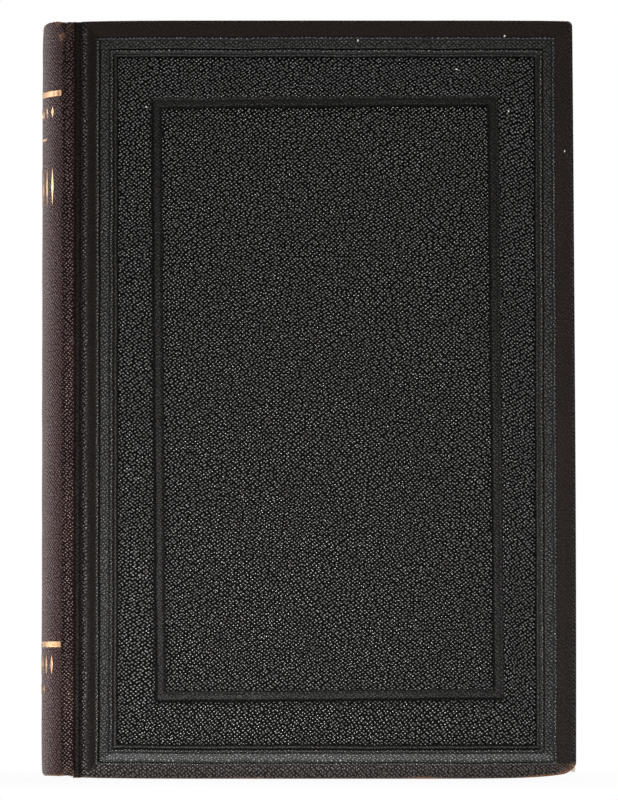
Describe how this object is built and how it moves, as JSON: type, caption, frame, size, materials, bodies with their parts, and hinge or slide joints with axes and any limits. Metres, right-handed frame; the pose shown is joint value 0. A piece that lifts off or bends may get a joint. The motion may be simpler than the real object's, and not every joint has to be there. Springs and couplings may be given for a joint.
{
  "type": "antique leather-bound book",
  "caption": "Upright hollow-backed book in dark grained leather, with bevelled boards, blind-tooled frames, gilt rules on a rounded spine and two opening covers.",
  "frame": {"origin": "centre of the closed book's footprint, on the surface that its tail stands on", "axes": "+Z from the tail of the book to its head, +X from the spine to the fore-edge, -Y the way that the front cover faces"},
  "size_m": [0.1658, 0.038, 0.235],
  "materials": {
    "pages": "aged, matte, cut edges",
    "endpapers": "aged, matte",
    "millboard": "matte",
    "cover_leather": "pebble grain with smooth blind-tooled lines, satin",
    "spine_leather": "smooth, worn, satin",
    "inlay_card": "matte",
    "lining_paper": "matte",
    "mull_cloth": "open weave",
    "band_silk": "silk",
    "cord_linen": "twisted linen",
    "gilding": "worn gold leaf"
  },
  "bodies": {
    "pages_and_spine": {"text_block": "pages", "front_flyleaf": "endpapers", "back_flyleaf": "endpapers", "spine_leather": "spine_leather", "spine_inlay": "inlay_card", "spine_lining": "lining_paper", "spine_mull": "mull_cloth", "head_band": "band_silk", "tail_band": "band_silk", "sewing_cord_1": "cord_linen", "sewing_cord_2": "cord_linen", "sewing_cord_3": "cord_linen", "sewing_cord_4": "cord_linen", "sewing_cord_5": "cord_linen", "upper_gilt_rule": "gilding", "short_gilt_rule": "gilding", "lower_gilt_rule": "gilding", "head_gilt_row": "gilding", "tall_gilt_row": "gilding", "tail_gilt_row": "gilding", "foot_gilt_row": "gilding"},
    "front_cover": {"front_board": "millboard", "front_cover_leather": "cover_leather", "front_pastedown": "endpapers"},
    "back_cover": {"back_board": "millboard", "back_cover_leather": "cover_leather", "back_pastedown": "endpapers"}
  },
  "joints": [
    {"name": "front_cover_hinge", "type": "hinge", "parent": "pages_and_spine", "child": "front_cover", "pos_m": [-0.0711, -0.0181, 0.1175], "axis": [0, 0, -1], "range_deg": [0, 175]},
    {"name": "back_cover_hinge", "type": "hinge", "parent": "pages_and_spine", "child": "back_cover", "pos_m": [-0.0711, 0.0181, 0.1175], "axis": [0, 0, 1], "range_deg": [0, 175]}
  ]
}
